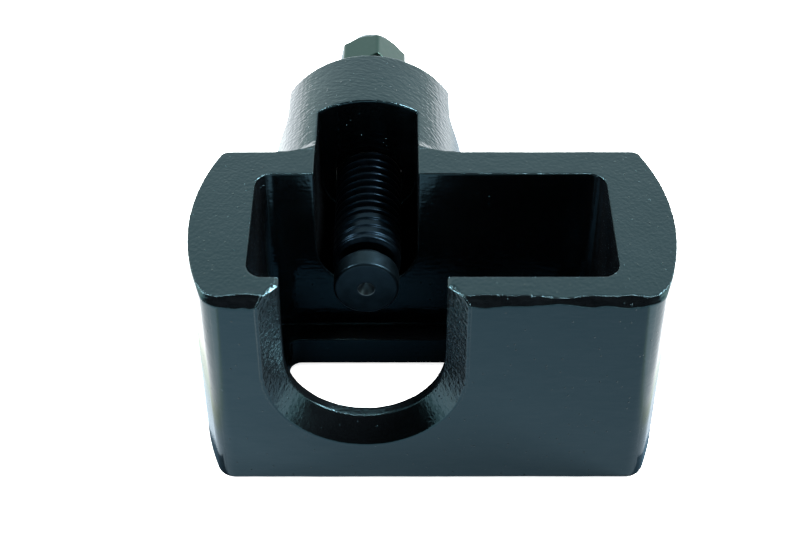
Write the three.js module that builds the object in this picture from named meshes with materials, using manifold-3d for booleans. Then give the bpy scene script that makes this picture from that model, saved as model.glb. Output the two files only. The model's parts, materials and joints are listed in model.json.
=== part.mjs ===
// Ball joint separator: a forged box frame with a fork slot in its front wall, and a forcing screw
// that runs through a boss on the back wall and presses on the ball stud with a swivelling tip.
// Millimetres. X along the frame, Y from the fork wall back to the boss, Z up.
// Inside this file everything is laid out from the fork: X = 0 at the middle of the fork slot,
// Y = 0 on the front face, Z = 0 on the bottom face. The finished group is then moved so that the
// origin is at the bottom centre of the whole tool.

import * as THREE from 'three';
import { mergeVertices } from 'three/addons/utils/BufferGeometryUtils.js';
import Module from 'manifold-3d';

const wasm = await Module();
wasm.setup();

// ---- frame -------------------------------------------------------------------------------------
const frameMiddleX = 16.6;      // the fork slot is this far to the left of the frame's middle
const frameHalfLength = 60.2;   // to the crown of the bulged end walls
const frameDepth = 57.6;
const frameHeight = 62.3;
const endBulgeRadius = 68.4;    // plan radius of the two end walls
const outerCornerRadius = 3;

const frontWall = 8.7;
const backWallInnerY = 48;
const cavityHalfLength = 44.7;
const cavityCornerRadius = 4.5;

const lipHeight = 9.2;          // inner lip round the bottom of the cavity
const lipWidth = 6.4;
const lipCornerRadius = 3;

// ---- fork slot and screw axis --------------------------------------------------------------------
const axisHeight = 37.35;       // screw axis, and centre of the fork slot's round bottom
const forkHalfWidth = 20;
const forkBevelWidth = 4.85;
const forkBevelDepth = 5.8;

// ---- boss ----------------------------------------------------------------------------------------
const bossRadius = 26.5;
const bossFilletRadius = 8;
const bossRearY = 100.2;
const bossRearChamfer = 0.6;
const bossFlatHalfWidth = 22.7; // two flats on the boss's sides, to hold it by while it is machined
const bossFlatFrontY = 90;
const bossFlatRunOut = 12;      // radius in which each flat runs out towards the frame
const channelHalfWidth = 13.4;
const channelEndY = 78;
const screwClearance = 0.3;     // radial gap round the thread, a plain bore in place of the nut thread
const boreMouthChamfer = 1.2;

// ---- forcing screw -------------------------------------------------------------------------------
const threadRadius = 9;
const threadPitch = 3;
const threadDepth = 1.6;
const threadCrest = 1.2;
const threadRootLand = 0.8;
const threadStartY = 41;
const hexStartY = 124;
const hexEndY = 139.8;
const hexAcrossFlats = 19;
const hexEndRadius = 7.3;
const hexLean = 11;             // degrees that the hexagon stands turned from point up
const hexCornerChamfer = 1.5;   // breaks the six corners
const hexTaperLength = 4.4;     // lead-in taper for a socket
const threadEndRelief = 3;      // plain neck between the last turn and the hexagon
const screwNoseChamfer = 0.8;

// ---- thrust tip and what holds it in the screw's nose ---------------------------------------------
const tipFrontY = 31.5;
const tipRadius = 8.5;
const tipHeadLength = 6;
const tipNeckRadius = 6;
const tipStemRadius = 4;
const tipStemEndY = 52;
const tipDimpleRadius = 2.2;
const tipDimpleDepth = 3.2;
const tipEdgeChamfer = 0.4;
const tipEndGap = 0.5;          // from the tip's neck to the face of the screw
const stemClearance = 0.3;
const ballRadius = 3;
const socketEndRadius = ballRadius + stemClearance;
const ringGrooveY = 47;
const ringWidth = 1.6;
const ringInnerRadius = 3.4;
const ringOuterRadius = 4.9;
const ringGap = 0.3;
const ringMouthAngle = 0.5;     // half the opening of the snap ring, in radians
const stemGrooveRadius = ringInnerRadius - ringGap;

const roundSegments = 64;
const bossSegments = 96;
const threadSegments = 16;      // facets in each turn of the thread

const overcut = 5;              // how far a cutter runs past the face that it opens
const overlap = 1;              // how far two joined solids reach into each other
const mergeTolerance = 1e-4;

// ---- small helpers -------------------------------------------------------------------------------

function solidFromGeometry(geometry) {
  const bare = geometry.clone();
  bare.deleteAttribute('normal');
  bare.deleteAttribute('uv');
  const merged = mergeVertices(bare, mergeTolerance);
  const mesh = new wasm.Mesh({
    numProp: 3,
    vertProperties: new Float32Array(merged.attributes.position.array),
    triVerts: new Uint32Array(merged.index.array),
  });
  return new wasm.Manifold(mesh);
}

function geometryFromSolid(solid) {
  const mesh = solid.getMesh();
  const geometry = new THREE.BufferGeometry();
  geometry.setAttribute('position', new THREE.BufferAttribute(mesh.vertProperties, 3));
  geometry.setIndex(new THREE.BufferAttribute(mesh.triVerts, 1));
  const faceted = geometry.toNonIndexed();
  faceted.computeVertexNormals();
  return faceted;
}

// A solid of revolution about the screw axis. Profile points are [radius, y], from front to back.
function turned(profile, segments = roundSegments) {
  const points = profile.map(([radius, y]) => new THREE.Vector2(radius, y));
  const geometry = new THREE.LatheGeometry(points, segments);
  geometry.translate(0, 0, axisHeight);
  return solidFromGeometry(geometry);
}

// An XY outline raised from zLow to zHigh.
function raised(shape, zLow, zHigh, curveSegments = 12) {
  const options = { depth: zHigh - zLow, bevelEnabled: false, curveSegments };
  const geometry = new THREE.ExtrudeGeometry(shape, options);
  geometry.translate(0, 0, zLow);
  return solidFromGeometry(geometry);
}

// An XZ outline run from yFront to yBack.
function runBack(shape, yFront, yBack, curveSegments = 12) {
  const options = { depth: yBack - yFront, bevelEnabled: false, curveSegments };
  const geometry = new THREE.ExtrudeGeometry(shape, options);
  geometry.rotateX(Math.PI / 2);
  geometry.translate(0, yBack, 0);
  return solidFromGeometry(geometry);
}

function roundedRectangle(xLow, xHigh, yLow, yHigh, radius) {
  const shape = new THREE.Shape();
  shape.moveTo(xLow + radius, yLow);
  shape.lineTo(xHigh - radius, yLow);
  shape.absarc(xHigh - radius, yLow + radius, radius, -Math.PI / 2, 0, false);
  shape.lineTo(xHigh, yHigh - radius);
  shape.absarc(xHigh - radius, yHigh - radius, radius, 0, Math.PI / 2, false);
  shape.lineTo(xLow + radius, yHigh);
  shape.absarc(xLow + radius, yHigh - radius, radius, Math.PI / 2, Math.PI, false);
  shape.lineTo(xLow, yLow + radius);
  shape.absarc(xLow + radius, yLow + radius, radius, Math.PI, Math.PI * 1.5, false);
  return shape;
}

// A U with its round bottom on the screw axis, open above the frame.
function uOutline(halfWidth) {
  const openTop = axisHeight + 2 * bossRadius;
  const shape = new THREE.Shape();
  shape.moveTo(-halfWidth, openTop);
  shape.lineTo(-halfWidth, axisHeight);
  shape.absarc(0, axisHeight, halfWidth, Math.PI, Math.PI * 2, false);
  shape.lineTo(halfWidth, openTop);
  shape.closePath();
  return shape;
}

// ---- frame ---------------------------------------------------------------------------------------

// Plan outline: straight front and back, bulged ends, and corners rounded between them.
function framePlan() {
  const middleY = frameDepth / 2;
  const bulgeCentre = frameHalfLength - endBulgeRadius;
  const filletReach = endBulgeRadius - outerCornerRadius;
  const filletRise = middleY - outerCornerRadius;
  const filletX = bulgeCentre + Math.sqrt(filletReach ** 2 - filletRise ** 2);
  const endAngle = Math.atan2(filletRise, filletX - bulgeCentre);
  const right = frameMiddleX;
  const shape = new THREE.Shape();
  shape.moveTo(right - filletX, 0);
  shape.lineTo(right + filletX, 0);
  shape.absarc(right + filletX, outerCornerRadius, outerCornerRadius, -Math.PI / 2, -endAngle, false);
  shape.absarc(right + bulgeCentre, middleY, endBulgeRadius, -endAngle, endAngle, false);
  shape.absarc(right + filletX, frameDepth - outerCornerRadius, outerCornerRadius,
    endAngle, Math.PI / 2, false);
  shape.lineTo(right - filletX, frameDepth);
  shape.absarc(right - filletX, frameDepth - outerCornerRadius, outerCornerRadius,
    Math.PI / 2, Math.PI - endAngle, false);
  shape.absarc(right - bulgeCentre, middleY, endBulgeRadius, Math.PI - endAngle, Math.PI + endAngle, false);
  shape.absarc(right - filletX, outerCornerRadius, outerCornerRadius,
    Math.PI + endAngle, Math.PI * 1.5, false);
  return shape;
}

function bossSolid() {
  return turned([
    [0, backWallInnerY + overlap],
    [bossRadius, backWallInnerY + overlap],
    [bossRadius, bossRearY - bossRearChamfer],
    [bossRadius - bossRearChamfer, bossRearY],
    [0, bossRearY],
  ], bossSegments);
}

// Cutter for one flat. side is 1 on the right and -1 on the left.
function bossFlatCutter(side) {
  const rear = bossRearY + overcut;
  const outside = side * (bossFlatHalfWidth + 2 * bossFlatRunOut);
  const arcMiddle = side * (bossFlatHalfWidth + bossFlatRunOut);
  const shape = new THREE.Shape();
  shape.moveTo(outside, rear);
  shape.lineTo(side * bossFlatHalfWidth, rear);
  shape.lineTo(side * bossFlatHalfWidth, bossFlatFrontY);
  if (side > 0) {
    shape.absarc(arcMiddle, bossFlatFrontY, bossFlatRunOut, Math.PI, Math.PI * 2, false);
  } else {
    shape.absarc(arcMiddle, bossFlatFrontY, bossFlatRunOut, 0, -Math.PI, true);
  }
  shape.closePath();
  return raised(shape, -overcut, axisHeight + bossRadius + overcut, 24);
}

// Hollow fillet between the back wall and the boss.
function bossFilletProfile() {
  const profile = [[0, frameDepth - overlap], [bossRadius + bossFilletRadius, frameDepth - overlap]];
  const filletSteps = 5;
  for (let i = 0; i <= filletSteps; i += 1) {
    const angle = (Math.PI / 2) * (i / filletSteps);
    profile.push([
      bossRadius + bossFilletRadius * (1 - Math.sin(angle)),
      frameDepth + bossFilletRadius * (1 - Math.cos(angle)),
    ]);
  }
  profile.push([0, frameDepth + bossFilletRadius]);
  return profile;
}

// The fork slot's cutter: its full width in front of the wall narrows to the slot across the bevel.
function forkBevelCutter() {
  const clearAhead = 12;
  const options = {
    depth: clearAhead,
    bevelEnabled: true,
    bevelThickness: forkBevelDepth,
    bevelSize: forkBevelWidth,
    bevelSegments: 1,
    curveSegments: 32,
  };
  const geometry = new THREE.ExtrudeGeometry(uOutline(forkHalfWidth), options);
  geometry.rotateX(Math.PI / 2);
  return solidFromGeometry(geometry);
}

function frameSolid() {
  const cavityLeft = frameMiddleX - cavityHalfLength;
  const cavityRight = frameMiddleX + cavityHalfLength;
  const above = frameHeight + overcut;
  const cavity = roundedRectangle(cavityLeft, cavityRight, frontWall, backWallInnerY, cavityCornerRadius);
  const lipOpening = roundedRectangle(cavityLeft + lipWidth, cavityRight - lipWidth,
    frontWall + lipWidth, backWallInnerY - lipWidth, lipCornerRadius);
  const heightBlock = new THREE.BoxGeometry(4 * frameHalfLength, 4 * frameDepth, frameHeight);
  heightBlock.translate(0, 0, frameHeight / 2);
  const bossFillet = turned(bossFilletProfile()).intersect(solidFromGeometry(heightBlock));
  const boreRadius = threadRadius + screwClearance;
  const bore = [
    [0, channelEndY - overcut],
    [boreRadius, channelEndY - overcut],
    [boreRadius, bossRearY - boreMouthChamfer],
    [boreRadius + boreMouthChamfer + overlap, bossRearY + overlap],
    [0, bossRearY + overlap],
  ];

  return raised(framePlan(), 0, frameHeight, 14)
    .add(bossFillet)
    .add(bossSolid())
    .subtract(bossFlatCutter(1))
    .subtract(bossFlatCutter(-1))
    .subtract(raised(cavity, lipHeight, above, 6))
    .subtract(raised(lipOpening, -overcut, above, 6))
    .subtract(runBack(uOutline(forkHalfWidth), -overcut, frontWall + overlap, 32))
    .subtract(forkBevelCutter())
    .subtract(runBack(uOutline(channelHalfWidth), backWallInnerY - overlap, channelEndY, 20))
    .subtract(turned(bore));
}

// ---- forcing screw -------------------------------------------------------------------------------

// A threaded bar as one helical skin: the axial section of one turn is repeated along the bar, and
// each step round the axis carries it a little further back. Both ends are closed to the axis.
function threadedBar(yStart, yEnd) {
  const rootRadius = threadRadius - threadDepth;
  const flank = (threadPitch - threadCrest - threadRootLand) / 2;
  const turnSection = [
    [threadRadius, 0],
    [threadRadius, threadCrest],
    [rootRadius, threadCrest + flank],
    [rootRadius, threadPitch - flank],
  ];
  const rowsPerTurn = turnSection.length;
  const turns = Math.ceil((yEnd - yStart) / threadPitch);
  const rows = turns * rowsPerTurn;
  const positions = [];
  const indices = [];
  for (let row = 0; row <= rows; row += 1) {
    const [radius, offset] = turnSection[row % rowsPerTurn];
    const y = yStart + Math.floor(row / rowsPerTurn) * threadPitch + offset;
    for (let step = 0; step < threadSegments; step += 1) {
      const turn = step / threadSegments;
      const angle = turn * 2 * Math.PI;
      const x = radius * Math.sin(angle);
      const z = axisHeight + radius * Math.cos(angle);
      positions.push(x, y + turn * threadPitch, z);
    }
  }
  const vertex = (row, step) => {
    const wrapped = step === threadSegments;
    return (wrapped ? row + rowsPerTurn : row) * threadSegments + (wrapped ? 0 : step);
  };
  const skinRows = rows - rowsPerTurn;
  for (let row = 0; row < skinRows; row += 1) {
    for (let step = 0; step < threadSegments; step += 1) {
      const a = vertex(row, step);
      const b = vertex(row, step + 1);
      const c = vertex(row + 1, step + 1);
      const d = vertex(row + 1, step);
      indices.push(a, b, c, a, c, d);
    }
  }
  const frontCentre = positions.length / 3;
  positions.push(0, yStart + threadPitch / 2, axisHeight);
  positions.push(0, yStart + (turns - 0.5) * threadPitch, axisHeight);
  const closeEnd = (edge, centre) => {
    for (let i = 0; i + 1 < edge.length; i += 1) {
      indices.push(centre, edge[i + 1], edge[i]);
    }
  };
  const edgeOf = (row) => {
    const edge = [];
    for (let step = 0; step <= threadSegments; step += 1) {
      edge.push(vertex(row, step));
    }
    for (let back = rowsPerTurn - 1; back >= 0; back -= 1) {
      edge.push(vertex(row + back, 0));
    }
    return edge;
  };
  closeEnd(edgeOf(0), frontCentre);
  closeEnd(edgeOf(skinRows).reverse(), frontCentre + 1);
  const geometry = new THREE.BufferGeometry();
  geometry.setAttribute('position', new THREE.Float32BufferAttribute(positions, 3));
  geometry.setIndex(indices);
  return solidFromGeometry(geometry);
}

function hexagonSolid() {
  const cornerRadius = hexAcrossFlats / Math.sqrt(3);
  const lean = THREE.MathUtils.degToRad(hexLean);
  const shape = new THREE.Shape();
  for (let i = 0; i < 6; i += 1) {
    const angle = Math.PI / 2 - lean + (i * Math.PI) / 3;
    const x = cornerRadius * Math.cos(angle);
    const z = axisHeight + cornerRadius * Math.sin(angle);
    if (i === 0) {
      shape.moveTo(x, z);
    } else {
      shape.lineTo(x, z);
    }
  }
  shape.closePath();
  const leadIn = turned([
    [0, hexStartY - overlap],
    [cornerRadius + overlap, hexStartY - overlap],
    [cornerRadius + overlap, hexEndY - hexTaperLength - hexCornerChamfer - overlap],
    [cornerRadius, hexEndY - hexTaperLength - hexCornerChamfer],
    [hexAcrossFlats / 2, hexEndY - hexTaperLength],
    [hexEndRadius, hexEndY],
    [0, hexEndY],
  ]);
  return runBack(shape, hexStartY, hexEndY, 1).intersect(leadIn);
}

function screwSolid() {
  const rootRadius = threadRadius - threadDepth;
  const threadEndY = hexStartY - threadEndRelief;
  const clearRadius = threadRadius + screwClearance;
  const envelope = turned([
    [0, threadStartY],
    [threadRadius - screwNoseChamfer, threadStartY],
    [clearRadius, threadStartY + screwNoseChamfer + screwClearance],
    [clearRadius, threadEndY - threadDepth],
    [rootRadius, threadEndY],
    [0, threadEndY],
  ]);
  const thread = threadedBar(threadStartY - 2 * threadPitch, threadEndY + 2 * threadPitch);
  const neck = turned([
    [0, threadEndY - threadDepth],
    [rootRadius, threadEndY - threadDepth],
    [rootRadius, hexStartY + overlap],
    [0, hexStartY + overlap],
  ], threadSegments);
  const bore = tipStemRadius + stemClearance;
  const ballEndY = tipStemEndY + 2 * ballRadius + 2 * stemClearance;
  const grooveRadius = ringOuterRadius + ringGap;
  const grooveHalf = ringWidth / 2 + ringGap;
  const socket = turned([
    [0, threadStartY - overlap],
    [bore, threadStartY - overlap],
    [bore, ringGrooveY - grooveHalf],
    [grooveRadius, ringGrooveY - grooveHalf],
    [grooveRadius, ringGrooveY + grooveHalf],
    [bore, ringGrooveY + grooveHalf],
    [bore, tipStemEndY],
    [socketEndRadius, tipStemEndY + overlap],
    [socketEndRadius, ballEndY],
    [0, ballEndY],
  ], 32);
  return thread.intersect(envelope).add(neck).add(hexagonSolid()).subtract(socket);
}

// ---- thrust tip, ball and snap ring ----------------------------------------------------------------

function tipSolid() {
  const headEndY = tipFrontY + tipHeadLength;
  const grooveHalf = ringWidth / 2 + ringGap;
  return turned([
    [0, tipFrontY + tipDimpleDepth],
    [tipDimpleRadius, tipFrontY],
    [tipRadius - tipEdgeChamfer, tipFrontY],
    [tipRadius, tipFrontY + tipEdgeChamfer],
    [tipRadius, headEndY - tipEdgeChamfer],
    [tipRadius - tipEdgeChamfer, headEndY],
    [tipNeckRadius, headEndY],
    [tipNeckRadius, threadStartY - tipEndGap],
    [tipStemRadius, threadStartY - tipEndGap],
    [tipStemRadius, ringGrooveY - grooveHalf],
    [stemGrooveRadius, ringGrooveY - grooveHalf],
    [stemGrooveRadius, ringGrooveY + grooveHalf],
    [tipStemRadius, ringGrooveY + grooveHalf],
    [tipStemRadius, tipStemEndY],
    [0, tipStemEndY],
  ], 48);
}

function ballGeometry() {
  const geometry = new THREE.SphereGeometry(ballRadius, 24, 16);
  geometry.translate(0, tipStemEndY + stemClearance + ballRadius, axisHeight);
  return geometry;
}

function ringSolid() {
  const shape = new THREE.Shape();
  const start = Math.PI / 2 + ringMouthAngle;
  const end = Math.PI * 2.5 - ringMouthAngle;
  shape.absarc(0, axisHeight, ringOuterRadius, start, end, false);
  shape.absarc(0, axisHeight, ringInnerRadius, end, start, true);
  shape.closePath();
  return runBack(shape, ringGrooveY - ringWidth / 2, ringGrooveY + ringWidth / 2, 32);
}

// ---- assembly --------------------------------------------------------------------------------------

const blackPaint = new THREE.MeshStandardMaterial({ color: 0x23302f, roughness: 0.35, metalness: 0 });
const blackenedSteel = new THREE.MeshStandardMaterial({ color: 0x2b3338, roughness: 0.45, metalness: 0.8 });
const hardenedTip = new THREE.MeshStandardMaterial({ color: 0x333c42, roughness: 0.4, metalness: 0.8 });
const polishedSteel = new THREE.MeshStandardMaterial({ color: 0xb8bcc0, roughness: 0.15, metalness: 1 });
const springSteel = new THREE.MeshStandardMaterial({ color: 0x6f7276, roughness: 0.35, metalness: 1 });

function addPiece(group, name, geometry, material) {
  const mesh = new THREE.Mesh(geometry, material);
  mesh.name = name;
  group.add(mesh);
}

const separator = new THREE.Group();
addPiece(separator, 'frame', geometryFromSolid(frameSolid()), blackPaint);
addPiece(separator, 'forcing_screw', geometryFromSolid(screwSolid()), blackenedSteel);
addPiece(separator, 'thrust_tip', geometryFromSolid(tipSolid()), hardenedTip);
addPiece(separator, 'thrust_ball', ballGeometry(), polishedSteel);
addPiece(separator, 'tip_snap_ring', geometryFromSolid(ringSolid()), springSteel);
separator.position.set(-frameMiddleX, -hexEndY / 2, 0);

export default separator;
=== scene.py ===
import json
import math

import bpy
import numpy as np
from mathutils import Euler, Matrix, Vector, noise


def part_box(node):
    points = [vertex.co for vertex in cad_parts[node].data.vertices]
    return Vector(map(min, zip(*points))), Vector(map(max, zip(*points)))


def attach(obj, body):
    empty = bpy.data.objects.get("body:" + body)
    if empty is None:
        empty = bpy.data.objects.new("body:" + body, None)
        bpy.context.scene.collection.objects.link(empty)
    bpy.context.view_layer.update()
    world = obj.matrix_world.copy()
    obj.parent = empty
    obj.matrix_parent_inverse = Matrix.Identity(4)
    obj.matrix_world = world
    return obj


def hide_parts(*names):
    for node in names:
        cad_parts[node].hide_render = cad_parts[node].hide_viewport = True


# A ball joint separator: a forged fork frame in baked black enamel, and the forcing screw that
# pushes a swivelling thrust tip through it. Metres, +Z up, the fork opens towards -Y.

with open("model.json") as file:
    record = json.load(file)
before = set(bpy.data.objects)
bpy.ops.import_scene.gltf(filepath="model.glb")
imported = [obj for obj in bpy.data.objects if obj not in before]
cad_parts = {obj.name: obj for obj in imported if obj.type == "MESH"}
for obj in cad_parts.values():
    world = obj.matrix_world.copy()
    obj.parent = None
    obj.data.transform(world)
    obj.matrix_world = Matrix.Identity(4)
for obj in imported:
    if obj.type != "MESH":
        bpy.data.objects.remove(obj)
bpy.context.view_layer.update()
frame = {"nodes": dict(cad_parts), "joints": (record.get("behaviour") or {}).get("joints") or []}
mm = 0.001
joints = {joint["name"]: joint for joint in frame["joints"]}
screwAxis = Vector(joints["screw_turn"]["pos_m"])
frameLow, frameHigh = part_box("frame")
screwLow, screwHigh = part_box("forcing_screw")
tipLow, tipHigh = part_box("thrust_tip")
ballLow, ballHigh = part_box("thrust_ball")
ringLow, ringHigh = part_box("tip_snap_ring")
print("frame loaded")


def linearColour(hexText):
    channels = [int(hexText[i:i + 2], 16) / 255 for i in (1, 3, 5)]
    linear = [c / 12.92 if c <= 0.04045 else ((c + 0.055) / 1.055) ** 2.4 for c in channels]
    return (*linear, 1.0)


# Adds one shader node. Inputs are given by socket name, as a value or as the socket that feeds it.
def addNode(tree, kind, inputs=None, **settings):
    made = tree.nodes.new("ShaderNode" + kind)
    for name, value in settings.items():
        setattr(made, name, value)
    for name, value in (inputs or {}).items():
        if isinstance(value, bpy.types.NodeSocket):
            tree.links.new(value, made.inputs[name])
        else:
            made.inputs[name].default_value = value
    return made


def newMaterial(name):
    material = bpy.data.materials.new(name)
    material.use_nodes = True
    material.node_tree.nodes.clear()
    return material, material.node_tree


def finishMaterial(tree, surface):
    tree.links.new(surface.outputs[0], addNode(tree, "OutputMaterial").inputs["Surface"])


enamelLook = {
    "colour": "#030405",
    "thinColour": "#07090b",       # where the paint has drawn thin over the grain
    "shine": "#aaecff",            # the gloss itself has a blue-green cast
    "ior": 1.42,                   # alkyd enamel, a little under the 1.5 of clear resin
    "roughness": (0.10, 0.20),
    "blotchSize": 14 * mm,         # how far the gloss and the film's thickness drift
    "peelSize": 0.9 * mm,          # orange peel, real 0.5 to 1 mm
    "peelHeight": 0.02 * mm,
    "grainSize": 1.05 * mm,        # blasted and ground skin of the forging under the paint
    "grainHeight": 0.25 * mm,
    "nibSpacing": 2.4 * mm,        # dust nibs and pinholes
    "nibShare": 0.11,              # radius of a nib as a share of the spacing
    "nibHeight": 0.45 * mm,
}


# Baked black enamel over a rough forging: a deep gloss that only shows as reflections, broken up by
# the skin underneath.
def blackEnamel():
    look = enamelLook
    material, tree = newMaterial("black_enamel_on_forging")
    place = addNode(tree, "TexCoord").outputs["Object"]
    grainPlace = addNode(tree, "Attribute", attribute_name="grainPlace").outputs["Vector"]
    grainDepth = addNode(tree, "Attribute", attribute_name="grainDepth").outputs["Fac"]
    blotch = addNode(tree, "TexNoise", {"Vector": place, "Scale": 1 / look["blotchSize"], "Detail": 3})
    colour = addNode(tree, "ValToRGB", {"Fac": blotch.outputs["Fac"]})
    colour.color_ramp.elements[0].color = linearColour(look["colour"])
    colour.color_ramp.elements[1].color = linearColour(look["thinColour"])
    roughness = addNode(tree, "MapRange", {
        "Value": blotch.outputs["Fac"], "From Min": 0.35, "From Max": 0.65,
        "To Min": look["roughness"][0], "To Max": look["roughness"][1]})
    peel = addNode(tree, "TexNoise", {"Vector": place, "Scale": 1 / look["peelSize"], "Detail": 2})
    peelBump = addNode(tree, "Bump", {
        "Height": peel.outputs["Fac"], "Strength": 1.0, "Distance": look["peelHeight"]})
    grain = addNode(tree, "TexNoise", {
        "Vector": grainPlace, "Scale": 1 / look["grainSize"], "Detail": 2, "Roughness": 0.55})
    grainBump = addNode(tree, "Bump", {
        "Height": grain.outputs["Fac"], "Strength": grainDepth, "Distance": look["grainHeight"],
        "Normal": peelBump.outputs["Normal"]})
    nib = addNode(tree, "TexVoronoi", {"Vector": place, "Scale": 1 / look["nibSpacing"]})
    nibShape = addNode(tree, "MapRange", {
        "Value": nib.outputs["Distance"], "From Min": 0.0, "From Max": look["nibShare"],
        "To Min": 1.0, "To Max": 0.0}, interpolation_type="SMOOTHSTEP")
    nibBump = addNode(tree, "Bump", {
        "Height": nibShape.outputs["Result"], "Strength": 1.0, "Distance": look["nibHeight"],
        "Normal": grainBump.outputs["Normal"]})
    finishMaterial(tree, addNode(tree, "BsdfPrincipled", {
        "Base Color": colour.outputs["Color"], "Roughness": roughness.outputs["Result"],
        "IOR": look["ior"], "Specular Tint": linearColour(look["shine"]),
        "Normal": nibBump.outputs["Normal"]}))
    return material


wearPatch = 3 * mm                 # size of the patches where oil and handling change turned steel


# Turned steel: rings left by the tool run round the screw axis, on faces and on barrels alike.
# Painted light: a piece may be given a paler colour behind a place on the axis, or within a radius of it.
def turnedSteel(name, look, paintedLightBehind=None, paintedLightWithin=None):
    material, tree = newMaterial(name)
    place = addNode(tree, "TexCoord").outputs["Object"]
    offAxis = addNode(tree, "VectorMath", {0: place, 1: screwAxis[:]}, operation="SUBTRACT")
    across = addNode(tree, "VectorMath", {0: offAxis.outputs[0], 1: (1, 0, 1)}, operation="MULTIPLY")
    radius = addNode(tree, "VectorMath", {0: across.outputs[0]}, operation="LENGTH")
    along = addNode(tree, "SeparateXYZ", {0: place}).outputs["Y"]
    feed = addNode(tree, "Math", {0: radius.outputs["Value"], 1: along}, operation="ADD")
    rings = addNode(tree, "TexNoise", {
        "W": feed.outputs[0], "Scale": 1 / look["toolFeed"], "Detail": 2}, noise_dimensions="1D")
    wear = addNode(tree, "TexNoise", {"Vector": place, "Scale": 1 / wearPatch, "Detail": 4})
    colour = addNode(tree, "ValToRGB", {"Fac": wear.outputs["Fac"]})
    colour.color_ramp.elements[0].position = 0.35
    colour.color_ramp.elements[0].color = linearColour(look["colour"])
    colour.color_ramp.elements[1].position = 0.7
    colour.color_ramp.elements[1].color = linearColour(look["wornColour"])
    roughness = addNode(tree, "MapRange", {
        "Value": wear.outputs["Fac"], "From Min": 0.3, "From Max": 0.7,
        "To Min": look["roughness"][0], "To Max": look["roughness"][1]})
    ringBump = addNode(tree, "Bump", {
        "Height": rings.outputs["Fac"], "Strength": 1.0, "Distance": look["ringHeight"]})
    steel = colour.outputs["Color"]
    pale = None
    if paintedLightBehind:
        pale = addNode(tree, "MapRange", {
            "Value": along, "From Min": paintedLightBehind - 1 * mm, "From Max": paintedLightBehind})
    if paintedLightWithin:
        pale = addNode(tree, "MapRange", {
            "Value": radius.outputs["Value"], "From Min": paintedLightWithin + 0.1 * mm, "From Max": paintedLightWithin})
    # painted light: mixes the paler colour in
    if pale:
        steel = addNode(tree, "Mix", {
            0: pale.outputs["Result"], 6: steel, 7: linearColour(look["paintedLightColour"])},
            data_type="RGBA").outputs[2]
    finishMaterial(tree, addNode(tree, "BsdfPrincipled", {
        "Base Color": steel, "Metallic": 1.0,
        "Roughness": roughness.outputs["Result"], "Normal": ringBump.outputs["Normal"]}))
    return material


# Oil-blackened medium carbon steel: almost no colour, a soft oily shine.
spindleSteelLook = {
    "colour": "#0f1a22",
    "wornColour": "#141f28",
    "paintedLightColour": "#2a3b37",       # painted light: the hexagon is paler and greener than the thread, for the light on it
    "roughness": (0.30, 0.42),
    "toolFeed": 0.5 * mm,          # real feed about 0.2 mm, coarser so that it shows
    "ringHeight": 0.006 * mm,
}

# Hardened alloy steel, quenched black and then lightly polished by use.
tipSteelLook = {
    "colour": "#131e24",
    "wornColour": "#17232a",
    "paintedLightColour": "#5e6a70",       # painted highlight: the dimple is paler than the rest of the tip
    "roughness": (0.34, 0.44),
    "toolFeed": 0.4 * mm,
    "ringHeight": 0.006 * mm,
}

# Through-hardened bearing steel, lapped to a mirror.
ballSteelLook = {
    "colour": "#c2c6c8",
    "wornColour": "#cfd2d3",
    "roughness": (0.05, 0.09),
    "toolFeed": 2.0 * mm,
    "ringHeight": 0.0005 * mm,
}

# Drawn and tempered spring wire, blue-grey.
springWireLook = {
    "colour": "#7c8388",
    "wornColour": "#9aa0a3",
    "roughness": (0.25, 0.40),
    "toolFeed": 0.3 * mm,
    "ringHeight": 0.004 * mm,
}


def meshPiece(name, points, faces, material):
    mesh = bpy.data.meshes.new(name)
    mesh.from_pydata([tuple(p) for p in points], [], faces)
    mesh.polygons.foreach_set("use_smooth", [True] * len(mesh.polygons))
    mesh.materials.append(material)
    piece = bpy.data.objects.new(name, mesh)
    bpy.context.scene.collection.objects.link(piece)
    return piece


def pointsOf(mesh):
    flat = np.empty(len(mesh.vertices) * 3)
    mesh.vertices.foreach_get("co", flat)
    return flat.reshape(-1, 3)


def normalsOf(mesh):
    flat = np.empty(len(mesh.vertices) * 3)
    mesh.vertex_normals.foreach_get("vector", flat)
    return flat.reshape(-1, 3)


def setPoints(mesh, points):
    mesh.vertices.foreach_set("co", points.ravel())
    mesh.update()


def smoothStep(low, high, value):
    t = np.clip((value - low) / (high - low), 0, 1)
    return t * t * (3 - 2 * t)


# Replaces each inner corner of a profile by a short arc that starts and ends this far from it.
def softened(profile, reach, steps=3):
    soft = [profile[0]]
    for before, corner, after in zip(profile, profile[1:], profile[2:]):
        here = Vector(corner)
        back, ahead = Vector(before) - here, Vector(after) - here
        room = min(reach, back.length * 0.45, ahead.length * 0.45)
        start, end = here + back.normalized() * room, here + ahead.normalized() * room
        for i in range(steps + 1):
            t = i / steps
            soft.append(tuple(start * (1 - t) ** 2 + here * 2 * t * (1 - t) + end * t * t))
    soft.append(profile[-1])
    return soft


# Adds a point near both ends of each long stretch, so that flats stay flat when they are shaded.
def held(profile, reach):
    kept = [profile[0]]
    for start, end in zip(profile, profile[1:]):
        stretch = Vector(end) - Vector(start)
        if stretch.length > 3 * reach:
            step = stretch.normalized() * reach
            kept += [tuple(Vector(start) + step), tuple(Vector(end) - step)]
        kept.append(end)
    return kept


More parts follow.
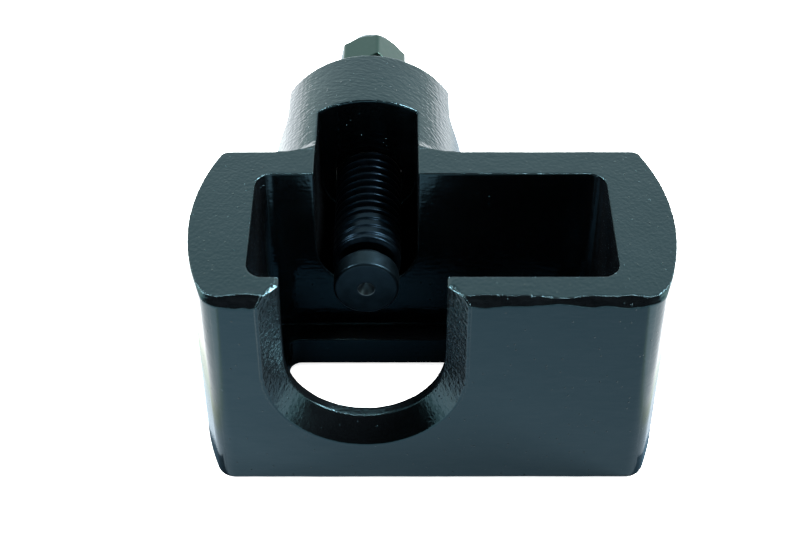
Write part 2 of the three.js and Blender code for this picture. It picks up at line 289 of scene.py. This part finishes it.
# Turns a profile of (radius, y) about the screw axis. It starts and ends on the axis. shape may
# change the radii, given as one row for each profile point and one column for each segment.
def turnedPiece(name, profile, segments, material, startAngle=0.0, shape=None):
    inner = profile[1:-1]
    radii = np.repeat(np.array([r for r, y in inner])[:, None], segments, axis=1)
    along = np.array([y for r, y in inner])
    angles = startAngle + np.arange(segments) * 2 * math.pi / segments
    if shape:
        radii = shape(radii, along[:, None], angles[None, :])
    x = screwAxis.x + radii * np.sin(angles)
    z = screwAxis.z + radii * np.cos(angles)
    y = np.repeat(along[:, None], segments, axis=1)
    points = np.stack([x, y, z], axis=-1).reshape(-1, 3)
    faces = []
    for row in range(len(inner) - 1):
        for step in range(segments):
            following = (step + 1) % segments
            a, b = row * segments + step, row * segments + following
            faces.append((a, b, b + segments, a + segments))
    firstPole, lastPole = len(points), len(points) + 1
    lastRow = (len(inner) - 1) * segments
    for step in range(segments):
        following = (step + 1) % segments
        faces.append((firstPole, following, step))
        faces.append((lastPole, lastRow + step, lastRow + following))
    poles = [(screwAxis.x, profile[i][1], screwAxis.z) for i in (0, -1)]
    return meshPiece(name, np.vstack([points, poles]), faces, material)


forgingLook = {
    "voxel": 0.36 * mm,
    "edgePasses": 2,               # rounds every edge to about 0.4 mm
    "forkHalfWidth": 20 * mm,
    "bevelWidth": 4.85 * mm,
    "bevelDepth": 5.8 * mm,
    "frontWall": 8.7 * mm,
    "tipFacet": 0.7 * mm,
    "tipFacetNarrowest": 0.15,     # share of its width at the front face
    "tipFacetWander": 0.05 * mm,
    "tipFacetWanderSize": 2 * mm,
    "tipFacetTilt": 31,            # degrees from level
    "backWallY": 57.6 * mm,        # from the front face to the back of the box
    "topHeight": 62.3 * mm,
    "frontCorner": 5.5 * mm,       # radius of the box's front corners in plan
    "endBulge": 68.4 * mm,         # radius of the end walls in plan
    "frontEdge": 1.9 * mm,         # leg of the dressed edge along the top of the front face
    "frontEdgeWander": 1.1 * mm,
    "frontEdgeWanderSize": 7 * mm,
    "frontEdgeNicks": 0.275 * mm,
    "frontEdgeNickSize": 1.8 * mm,
    "frontEdgeFades": (1 * mm, 8 * mm),   # where the dressed edge runs out on the end walls
    "dressedDepth": 6 * mm,        # the dressed edge reaches no deeper than this from the edge
    "waviness": 0.10 * mm,         # die wear, always inwards
    "wavinessSize": 15 * mm,
    "dents": 0.05 * mm,
    "dentSize": 3.5 * mm,
}


def wander(points, size, seed):
    shift = Vector((seed * 7.3, seed * 3.1, seed * 5.7))
    return np.array([noise.noise(Vector(p) / size + shift) for p in points])


# How far points lie behind the outline of the box in plan, and which way is out. The outline is the
# flat front, the bulged end walls and the rounded corners between them.
def behindOutline(points):
    look = forgingLook
    corner, bulge = look["frontCorner"], look["endBulge"]
    middle, halfWidth = (frameLow.x + frameHigh.x) / 2, (frameHigh.x - frameLow.x) / 2
    side = np.where(points[:, 0] > middle, 1.0, -1.0)
    x, y = (points[:, 0] - middle) * side, points[:, 1] - frameLow.y
    bulgeX, bulgeY = halfWidth - bulge, look["backWallY"] / 2
    cornerX = bulgeX + math.sqrt((bulge - corner) ** 2 - (bulgeY - corner) ** 2)
    lean = (bulgeY - corner) / (cornerX - bulgeX)
    pastFront = x > cornerX
    onCorner = pastFront & (y < corner - lean * (x - cornerX))
    fromCorner = np.stack([x - cornerX, y - corner], -1)
    fromBulge = np.stack([x - bulgeX, y - bulgeY], -1)
    outwards = np.where(onCorner[:, None], fromCorner, np.where(pastFront[:, None], fromBulge, (0, -1)))
    reach = np.linalg.norm(outwards, axis=1)
    outwards /= np.maximum(reach, 1e-9)[:, None]
    depth = np.where(onCorner, corner - reach, np.where(pastFront, bulge - reach, y))
    return depth, outwards * np.stack([side, np.ones_like(side)], -1)


def roundFrontCorners(points):
    near = np.flatnonzero(points[:, 1] < frameLow.y + forgingLook["frontCorner"])
    depth, outwards = behindOutline(points[near])
    points[near, :2] += np.minimum(depth, 0)[:, None] * outwards


# The top front edge was dressed by hand after the flash was cut off, so its flat wanders. It goes
# round the front corners and runs out along the end walls.
def dressFrontEdge(points):
    look = forgingLook
    top = frameLow.z + look["topHeight"]
    fadeStart, fadeEnd = look["frontEdgeFades"]
    near = np.flatnonzero((points[:, 1] < frameLow.y + fadeEnd) & (points[:, 2] > top - look["dressedDepth"]))
    depth, outwards = behindOutline(points[near])
    skin = depth < look["dressedDepth"]
    near, outwards, depth = near[skin], outwards[skin], depth[skin]
    spots = points[near]
    leg = look["frontEdge"]
    leg += look["frontEdgeWander"] * wander(spots * (1, 1, 0), look["frontEdgeWanderSize"], 1)
    leg += look["frontEdgeNicks"] * wander(spots, look["frontEdgeNickSize"], 2)
    leg *= 1 - smoothStep(fadeStart, fadeEnd, spots[:, 1] - frameLow.y)
    proud = ((spots[:, 2] - top) - depth + leg) / math.sqrt(2)
    facing = np.hstack([outwards, np.ones((len(near), 1))]) / math.sqrt(2)
    points[near] = spots - np.maximum(proud, 0)[:, None] * facing


# Where the bevel of the fork meets the top, a facet was ground on. It is widest at the slot.
def dressForkTips(points):
    look = forgingLook
    top = frameLow.z + look["topHeight"]
    slope = math.atan2(look["bevelDepth"], look["bevelWidth"])
    depth = points[:, 1] - frameLow.y
    across = points[:, 0] - screwAxis.x
    near = np.flatnonzero((depth < look["frontWall"] + 1 * mm) & (points[:, 2] > top - 8 * mm)
                          & (np.abs(across) < look["forkHalfWidth"] + 12 * mm))
    side = np.sign(across[near])
    beyondSlot = np.abs(across[near]) - look["forkHalfWidth"]
    buried = np.where(depth[near] > look["bevelDepth"], beyondSlot, behindBevel(depth[near], beyondSlot))
    widest = smoothStep(0, look["bevelDepth"], depth[near])
    narrowest = look["tipFacetNarrowest"]
    cutHeight = look["tipFacet"] * (narrowest + (1 - narrowest) * widest)
    cutHeight += look["tipFacetWander"] * wander(points[near], look["tipFacetWanderSize"], 5)
    tilt = math.radians(look["tipFacetTilt"])
    below = top - points[near][:, 2]
    proud = (cutHeight - below) * math.cos(tilt) - buried * math.sin(tilt)
    level = np.zeros(len(near))
    towardsFork = np.stack([-side * math.sin(slope), level - math.cos(slope), level], -1)
    facing = towardsFork * math.sin(tilt) + np.array([0, 0, math.cos(tilt)])
    points[near] -= np.maximum(proud, 0)[:, None] * facing


# How far a point lies behind the bevel of the fork, measured square to it.
def behindBevel(depth, fromFork):
    look = forgingLook
    slope = math.atan2(look["bevelDepth"], look["bevelWidth"])
    return fromFork * math.sin(slope) + (depth - look["bevelDepth"]) * math.cos(slope)


# How deep the grain of the skin shows on each kind of face, as a share of the full grain.
grainShare = {
    "elsewhere": 0.15,
    "top": 0.6,
    "boss": 0.6,
    "front": 0.2,
    "bevelFoot": 0.3,
    "bevelArms": 0.8,
    "bevelFootTop": -16 * mm,      # from the screw's axis: the foot of the fork's U ends here
    "bevelChange": 12 * mm,        # and its arms have their full grain this much higher
}

# The grain is drawn out the way each face was worked. These scale its coordinates.
grainStretch = {
    "top": (1.3, 1, 1),
    "front": (0.25, 1, 1),
    "roundBoss": 0.6,
    "bossLean": 0.25,
    "downBevel": 0.55,
    "bevelLean": 0.3,
}


# How deep the grain of the skin is, and coordinates that draw it out the way the surface was worked.
def workedSkin(points, normals):
    look, share, stretch = forgingLook, grainShare, grainStretch
    x, z = points[:, 0] - screwAxis.x, points[:, 2] - screwAxis.z
    depth = points[:, 1] - frameLow.y
    fromAxis = np.hypot(x, z)
    onFoot = z < 0
    fromFork = np.where(onFoot, fromAxis, np.abs(x)) - look["forkHalfWidth"]
    climb = np.where(onFoot, np.arctan2(np.abs(x), -z), math.pi / 2) * look["forkHalfWidth"]
    climb += np.where(onFoot, 0, z)
    onBevel = (depth < look["bevelDepth"]) & (np.abs(behindBevel(depth, fromFork)) < 0.5 * mm)
    onBoss = depth > look["backWallY"] + 1 * mm
    onTop = normals[:, 2] > 0.9
    onFront = normals[:, 1] < -0.9
    down = fromFork - depth
    place = points.copy()
    lean, level = stretch["bevelLean"], np.zeros(len(points))
    slanted = np.stack([(down - lean * climb) * stretch["downBevel"], climb + lean * down, level], -1)
    place[onBevel] = slanted[onBevel]
    circling = np.arctan2(x, z) * fromAxis
    alongBoss = depth + stretch["bossLean"] * circling
    wrapped = np.stack([circling * stretch["roundBoss"], alongBoss, fromAxis], -1)
    place[onBoss] = wrapped[onBoss]
    place[onTop & ~onBoss] *= stretch["top"]
    place[onFront & ~onBevel] *= stretch["front"]
    strength = np.full(len(points), share["elsewhere"])
    strength[onTop] = share["top"]
    strength[onBoss] = share["boss"]
    strength[onFront] = share["front"]
    arms = smoothStep(0, share["bevelChange"], z - share["bevelFootTop"])
    strength[onBevel] = (share["bevelFoot"] + (share["bevelArms"] - share["bevelFoot"]) * arms)[onBevel]
    return place, strength


def forgedFrame():
    look = forgingLook
    piece = bpy.data.objects.new("forged_frame", frame["nodes"]["frame"].data.copy())
    bpy.context.scene.collection.objects.link(piece)
    remesh = piece.modifiers.new("skin", "REMESH")
    remesh.mode = "VOXEL"
    remesh.voxel_size = look["voxel"]
    snug = piece.modifiers.new("back_to_size", "SHRINKWRAP")
    snug.target = frame["nodes"]["frame"]
    snug.wrap_method = "NEAREST_SURFACEPOINT"
    bakeModifiers(piece)
    points = pointsOf(piece.data)
    roundFrontCorners(points)
    dressFrontEdge(points)
    dressForkTips(points)
    setPoints(piece.data, points)
    soften = piece.modifiers.new("edges", "SMOOTH")
    soften.factor = 0.5
    soften.iterations = look["edgePasses"]
    bakeModifiers(piece)
    points, normals = pointsOf(piece.data), normalsOf(piece.data)
    sink = look["waviness"] * (0.5 + 0.5 * wander(points, look["wavinessSize"], 3))
    sink += look["dents"] * (0.5 + 0.5 * wander(points, look["dentSize"], 4))
    points -= normals * sink[:, None]
    points = np.clip(points, frameLow, frameHigh)
    setPoints(piece.data, points)
    place, strength = workedSkin(points, normals)
    attributes = piece.data.attributes
    attributes.new("grainPlace", "FLOAT_VECTOR", "POINT").data.foreach_set("vector", place.ravel())
    attributes.new("grainDepth", "FLOAT", "POINT").data.foreach_set("value", strength)
    piece.data.polygons.foreach_set("use_smooth", [True] * len(piece.data.polygons))
    piece.data.materials.clear()
    piece.data.materials.append(blackEnamel())
    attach(piece, "frame_body")
    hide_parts("frame")
    print("forged frame:", len(piece.data.polygons), "faces")


def bakeModifiers(piece):
    graph = bpy.context.evaluated_depsgraph_get()
    baked = bpy.data.meshes.new_from_object(piece.evaluated_get(graph))
    piece.modifiers.clear()
    piece.data = baked


spindle = {
    "threadRadius": 9 * mm,
    "pitch": 3 * mm,
    "threadDepth": 1.75 * mm,
    "rootWidth": 0.5 * mm,
    "flankWidth": 0.95 * mm,
    "shallowEnd": 8 * mm,          # the die cut the first turns shallow
    "fullDepthFrom": 17 * mm,
    "shallowShare": 0.22,
    "noseChamfer": 0.9 * mm,
    "boreRadius": 4.3 * mm,
    "boreDepth": 17.6 * mm,
    "ringPocketRadius": 5.2 * mm,
    "ringPocketWidth": 2.2 * mm,
    "reliefLength": 3 * mm,
    "hexLength": 15.8 * mm,
    "hexAcrossFlats": 19 * mm,
    "hexLean": 11,                 # degrees off point up
    "hexFrontBreak": 0.7 * mm,     # chamfer where the hexagon starts
    "hexShoulder": 1.5 * mm,       # where its corners give way to the taper
    "hexEndRadius": 7.3 * mm,
    "hexTaper": 4.4 * mm,
    "hexCornerBreak": 0.12 * mm,
    "boreEdgeBreak": 0.15 * mm,
    "neckEdgeBreak": 0.3 * mm,
    "rowStep": 0.2 * mm,
    "segments": 144,
}


def forcingScrew():
    s = spindle
    nose, end = screwLow.y, screwHigh.y
    hexStart = end - s["hexLength"]
    threadEnd = hexStart - s["reliefLength"]
    pocket = (ringLow.y + ringHigh.y) / 2
    rootRadius = s["threadRadius"] - s["threadDepth"]
    flatRadius = s["hexAcrossFlats"] / 2
    cornerRadius = s["hexAcrossFlats"] / math.sqrt(3)
    lean = math.radians(s["hexLean"])
    bore = held(softened([
        (0, nose + s["boreDepth"]),
        (s["boreRadius"], nose + s["boreDepth"]),
        (s["boreRadius"], pocket + s["ringPocketWidth"] / 2),
        (s["ringPocketRadius"], pocket + s["ringPocketWidth"] / 2),
        (s["ringPocketRadius"], pocket - s["ringPocketWidth"] / 2),
        (s["boreRadius"], pocket - s["ringPocketWidth"] / 2),
        (s["boreRadius"], nose),
        (s["threadRadius"] - s["noseChamfer"], nose),
        (s["threadRadius"], nose + s["noseChamfer"]),
    ], s["boreEdgeBreak"]), s["boreEdgeBreak"])
    barrelStart = nose + s["noseChamfer"]
    barrelRows = math.ceil((threadEnd - barrelStart) / s["rowStep"])
    barrel = [(s["threadRadius"], barrelStart + i * s["rowStep"]) for i in range(1, barrelRows)]
    neck = held(softened([
        (s["threadRadius"], threadEnd - s["threadDepth"]),
        (rootRadius, threadEnd),
        (rootRadius, hexStart),
        (flatRadius + 0.1 * mm, hexStart),
        (cornerRadius, hexStart + s["hexFrontBreak"]),
        (cornerRadius, end - s["hexTaper"] - s["hexShoulder"]),
        (flatRadius, end - s["hexTaper"]),
        (s["hexEndRadius"], end),
        (0, end),
    ], s["neckEdgeBreak"]), 0.2 * mm)
    barrel = [p for p in barrel if p[1] < neck[1][1]]

    def cutThreadAndHexagon(radii, y, angles):
        turn = ((y - barrelStart) / s["pitch"] - angles / (2 * math.pi)) % 1
        fromRoot = np.abs(turn - 0.5) * s["pitch"] - s["rootWidth"] / 2
        groove = s["threadDepth"] * (1 - np.clip(fromRoot / s["flankWidth"], 0, 1))
        started = smoothStep(s["shallowEnd"], s["fullDepthFrom"], y - nose)
        uncut = (1 - s["shallowShare"]) * (1 - started) * s["threadDepth"]
        groove = np.maximum(groove - uncut, 0)
        threaded = np.minimum(radii, s["threadRadius"] - groove)
        onThread = (radii > rootRadius) & (y < threadEnd)
        fromFlat = (angles - lean) % (math.pi / 3) - math.pi / 6
        hexagon = np.minimum(flatRadius / np.cos(fromFlat), cornerRadius - s["hexCornerBreak"])
        sixSided = np.minimum(radii, hexagon)
        return np.where(onThread, threaded, np.where(y >= hexStart, sixSided, radii))

    # painted light: the hexagon behind hexStart gets the paler colour
    piece = turnedPiece("blackened_spindle", bore + barrel + neck, s["segments"],
                        turnedSteel("oil_blackened_steel", spindleSteelLook, paintedLightBehind=hexStart),
                        startAngle=lean, shape=cutThreadAndHexagon)
    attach(piece, "screw_body")
    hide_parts("forcing_screw")
    print("forcing screw:", len(piece.data.polygons), "faces")


tip = {
    "headRadius": 8.5 * mm,
    "headLength": 6 * mm,
    "neckRadius": 6 * mm,
    "neckEnd": 9 * mm,
    "stemRadius": 4 * mm,
    "grooveRadius": 3.1 * mm,
    "grooveWidth": 2.2 * mm,
    "dimpleRadius": 2.2 * mm,
    "dimpleDepth": 3.2 * mm,
    "edgeBreak": 0.5 * mm,
    "segments": 128,
}


def thrustTip():
    t = tip
    face, end = tipLow.y, tipHigh.y
    groove = (ringLow.y + ringHigh.y) / 2
    profile = held(softened([
        (0, face + t["dimpleDepth"]),
        (t["dimpleRadius"], face),
        (t["headRadius"] - t["edgeBreak"], face),
        (t["headRadius"], face + t["edgeBreak"]),
        (t["headRadius"], face + t["headLength"] - t["edgeBreak"]),
        (t["headRadius"] - t["edgeBreak"], face + t["headLength"]),
        (t["neckRadius"], face + t["headLength"]),
        (t["neckRadius"], face + t["neckEnd"]),
        (t["stemRadius"], face + t["neckEnd"]),
        (t["stemRadius"], groove - t["grooveWidth"] / 2),
        (t["grooveRadius"], groove - t["grooveWidth"] / 2),
        (t["grooveRadius"], groove + t["grooveWidth"] / 2),
        (t["stemRadius"], groove + t["grooveWidth"] / 2),
        (t["stemRadius"], end),
        (0, end),
    ], 0.2 * mm, steps=4), 0.12 * mm)
    # painted highlight: the dimple gets the paler colour
    steel = turnedSteel("hardened_tip_steel", tipSteelLook, paintedLightWithin=t["dimpleRadius"])
    piece = turnedPiece("hardened_tip", profile, t["segments"], steel)
    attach(piece, "tip_body")
    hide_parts("thrust_tip")


ball = {
    "rows": 32,
    "segments": 64,
}


def thrustBall():
    centre = (ballLow.y + ballHigh.y) / 2
    radius = (ballHigh.y - ballLow.y) / 2
    angles = [math.pi * i / ball["rows"] for i in range(ball["rows"] + 1)]
    profile = [(radius * math.sin(a), centre - radius * math.cos(a)) for a in angles]
    steel = turnedSteel("lapped_bearing_steel", ballSteelLook)
    piece = turnedPiece("bearing_ball", profile, ball["segments"], steel)
    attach(piece, "tip_body")
    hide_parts("thrust_ball")


snapRing = {
    "innerRadius": 3.4 * mm,
    "mouth": 0.55,                 # half the opening, in radians
    "sections": 96,
    "sides": 16,
    "capSteps": 4,                 # rows that round off each end of the wire
}


# A ring of round wire, open at the top, with rounded ends.
def tipSnapRing():
    r = snapRing
    wire = (ringHigh.y - ringLow.y) / 2
    centreY = (ringLow.y + ringHigh.y) / 2
    centreRadius = r["innerRadius"] + wire
    sweep = 2 * math.pi - 2 * r["mouth"]
    stations = [(r["mouth"] + sweep * i / r["sections"], 1.0) for i in range(r["sections"] + 1)]
    for i in range(1, r["capSteps"]):
        bend = math.pi / 2 * i / r["capSteps"]
        reach = wire * math.sin(bend) / centreRadius
        stations.insert(0, (r["mouth"] - reach, math.cos(bend)))
        stations.append((r["mouth"] + sweep + reach, math.cos(bend)))
    points = []
    for angle, share in stations:
        for side in range(r["sides"]):
            around = 2 * math.pi * side / r["sides"]
            radius = centreRadius + wire * share * math.cos(around)
            points.append((screwAxis.x + radius * math.sin(angle),
                           centreY + wire * share * math.sin(around),
                           screwAxis.z + radius * math.cos(angle)))
    sides = r["sides"]
    faces = []
    for row in range(len(stations) - 1):
        for side in range(sides):
            a, b = row * sides + side, row * sides + (side + 1) % sides
            faces.append((a, a + sides, b + sides, b))
    faces.append(tuple(range(sides)))
    faces.append(tuple(reversed(range(len(points) - sides, len(points)))))
    piece = meshPiece("wire_snap_ring", points, faces, turnedSteel("spring_wire", springWireLook))
    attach(piece, "screw_body")
    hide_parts("tip_snap_ring")


camera = {
    "fromForkFoot": Vector((9.205, -268.883, 311.928)) * mm,   # the fork slot's foot on the front face
    "lens": 70.73,
    "tilt": 41.605,                # degrees down
    "turn": 0.086,
    "roll": -0.097,
}

studio = {
    "air": (1.5, 1.85, 1.85),      # white walls, exposed past white, a little cool
    "floorPaper": "#f4f4f4",
    "floorGlow": 0.86,
    "floorReach": 4.0,
    "sheet": "#5f656b",            # what the paint mirrors from below
    "sheetGlow": "#cfe0ed",        # painted light: the sheet glows, for the floor that the tool doesn't shade
    "sheetLeftShare": 1.6,         # painted light: its glow is brighter on the left
    "besideTint": "#c9d3b4",       # painted light: the glow turns half way to white beside the tool
    "besideGlow": 2.6,
    "besideReach": (4 * mm, 24 * mm),
    "shade": "#3a4d5a",            # painted shade: a darker card under the tool itself, for the floor in its shadow
    "cloth": "#050505",
    "clothDistance": 0.8,
    "clothRows": [(14, 66), (31, 66), (50, 54), (72, 34), (95, 19), (112, 19)],   # height, reach aside
    "clothShares": (-1, -0.5, 0, 0.5, 1),
}

keyColour = (1.0, 1.0, 1.0)
sideColour = (0.85, 1.0, 0.80)
panels = {                         # direction, distance, width, height, radiance, colour
    "key_right": ((0.62, 0.15, 0.77), 0.9, 0.27, 0.27, 125, keyColour),
    "key_left": ((-0.78, 0.05, 0.62), 0.9, 0.22, 0.20, 100, keyColour),
    "side_right": ((0.97, 0.15, 0.20), 1.2, 1.3, 0.5, 2.2, sideColour),
    "side_left": ((-0.95, 0.25, 0.20), 1.2, 1.4, 0.5, 1.9, sideColour),
}


def studioCamera():
    c = camera
    foot = Vector((screwAxis.x, frameLow.y, frameLow.z))
    data = bpy.data.cameras.new("camera")
    data.sensor_width = 36
    data.lens = c["lens"]
    data.clip_start = 0.01
    eye = bpy.data.objects.new("camera", data)
    bpy.context.scene.collection.objects.link(eye)
    aim = Euler((math.radians(90 - c["tilt"]), 0, math.radians(c["turn"]))).to_matrix()
    aim = aim @ Matrix.Rotation(math.radians(c["roll"]), 3, "Z")
    eye.rotation_euler = aim.to_euler()
    eye.location = foot + c["fromForkFoot"]
    bpy.context.scene.camera = eye


def studioPanel(name, direction, distance, width, height, radiance, colour):
    data = bpy.data.lights.new(name, "AREA")
    data.shape = "RECTANGLE"
    data.size, data.size_y = width, height
    data.energy = radiance * 4 * width * height
    data.color = colour
    panel = bpy.data.objects.new(name, data)
    bpy.context.scene.collection.objects.link(panel)
    away = Vector(direction).normalized()
    panel.location = Vector((screwAxis.x, 0, screwAxis.z)) + away * distance
    panel.rotation_euler = away.to_track_quat("Z", "Y").to_euler()
    panel.visible_camera = False


def stageSheet(name, corners, shader, height):
    material, tree = newMaterial(name)
    finishMaterial(tree, shader(tree))
    sheet = meshPiece(name, corners, [tuple(range(len(corners)))], material)
    sheet.location.z = height
    return sheet


# The floor that is seen is pale paper. The paint mirrors other sheets instead: a grey-blue one that glows
# with painted light and turns white beside the tool, a darker card under the tool for painted shade, and
# black cloth round the camera.
def studioRoom():
    world = bpy.data.worlds.new("studio_air")
    bpy.context.scene.world = world
    world.use_nodes = True
    background = world.node_tree.nodes["Background"]
    background.inputs["Color"].default_value = (*studio["air"], 1)
    reach = studio["floorReach"]
    square = [(-reach, -reach, 0), (reach, -reach, 0), (reach, reach, 0), (-reach, reach, 0)]

    def paleFloor(tree):
        glow = addNode(tree, "Emission", {"Color": (1, 1, 1, 1), "Strength": studio["floorGlow"]})
        paper = addNode(tree, "BsdfDiffuse", {"Color": linearColour(studio["floorPaper"])})
        return addNode(tree, "AddShader", {0: glow.outputs[0], 1: paper.outputs[0]})

    def bounceSheet(tree):
        paper = addNode(tree, "BsdfDiffuse", {"Color": linearColour(studio["sheet"])})
        place = addNode(tree, "TexCoord").outputs["Object"]
        across = addNode(tree, "SeparateXYZ", {0: place}).outputs["X"]
        fromMiddle = addNode(tree, "Math", {0: across}, operation="ABSOLUTE")
        start, end = studio["besideReach"]
        beside = addNode(tree, "MapRange", {
            "Value": fromMiddle.outputs[0], "From Min": frameHigh.x + start, "From Max": frameHigh.x + end},
            interpolation_type="SMOOTHSTEP")
        ahead = addNode(tree, "MapRange", {
            "Value": across, "From Min": frameLow.x, "From Max": frameHigh.x,
            "To Min": studio["sheetLeftShare"], "To Max": 1.0})
        tint = addNode(tree, "ValToRGB", {"Fac": beside.outputs["Result"]})
        tint.color_ramp.elements[0].color = linearColour(studio["sheetGlow"])
        tint.color_ramp.elements[1].color = (1, 1, 1, 1)
        tint.color_ramp.elements.new(0.5).color = linearColour(studio["besideTint"])
        # painted light: the sheet's glow, brighter on the left and white beside the tool
        strength = addNode(tree, "Mix", {
            0: beside.outputs["Result"], 2: ahead.outputs["Result"], 3: studio["besideGlow"]})
        glow = addNode(tree, "Emission", {"Color": tint.outputs["Color"], "Strength": strength.outputs[0]})
        return addNode(tree, "AddShader", {0: paper.outputs[0], 1: glow.outputs[0]})

    def blackCloth(tree):
        return addNode(tree, "BsdfDiffuse", {"Color": linearColour(studio["cloth"])})

    def paintedShadeCard(tree):
        return addNode(tree, "BsdfDiffuse", {"Color": linearColour(studio["shade"])})

    floor = stageSheet("pale_floor", square, paleFloor, -0.2 * mm)
    floor.visible_diffuse = False
    floor.visible_glossy = False
    floor.visible_transmission = False
    floor.visible_shadow = False
    bounce = stageSheet("bounce_sheet", square, bounceSheet, -0.4 * mm)
    bounce.visible_camera = False
    left, right = frameLow.x, frameHigh.x
    front, back = frameLow.y, frameLow.y + forgingLook["backWallY"]
    footprint = [(left, front, 0), (right, front, 0), (right, back, 0), (left, back, 0)]
    # painted shade: a darker card in the tool's footprint, for the shadowed floor under it
    shade = stageSheet("shade_card", footprint, paintedShadeCard, -0.3 * mm)
    shade.visible_camera = False

    rows, shares = studio["clothRows"], studio["clothShares"]
    rim = []
    for height, reachAside in rows:
        for share in shares:
            h, a = math.radians(height), math.radians(reachAside * share)
            towards = Vector((math.sin(a), -math.cos(a) * math.cos(h), math.cos(a) * math.sin(h)))
            rim.append(towards * studio["clothDistance"])
    wide = len(shares)
    faces = [(r * wide + c, r * wide + c + 1, (r + 1) * wide + c + 1, (r + 1) * wide + c)
             for r in range(len(rows) - 1) for c in range(wide - 1)]
    material, tree = newMaterial("black_cloth")
    finishMaterial(tree, blackCloth(tree))
    cloth = meshPiece("black_cloth_round_camera", rim, faces, material)
    cloth.location = (screwAxis.x, 0, screwAxis.z)
    cloth.visible_camera = False

    for name, settings in panels.items():
        studioPanel(name, *settings)
    bpy.context.scene.view_settings.view_transform = "Standard"


forgedFrame()
forcingScrew()
thrustTip()
thrustBall()
tipSnapRing()
print("pieces made")
studioCamera()
studioRoom()
print("studio lit")
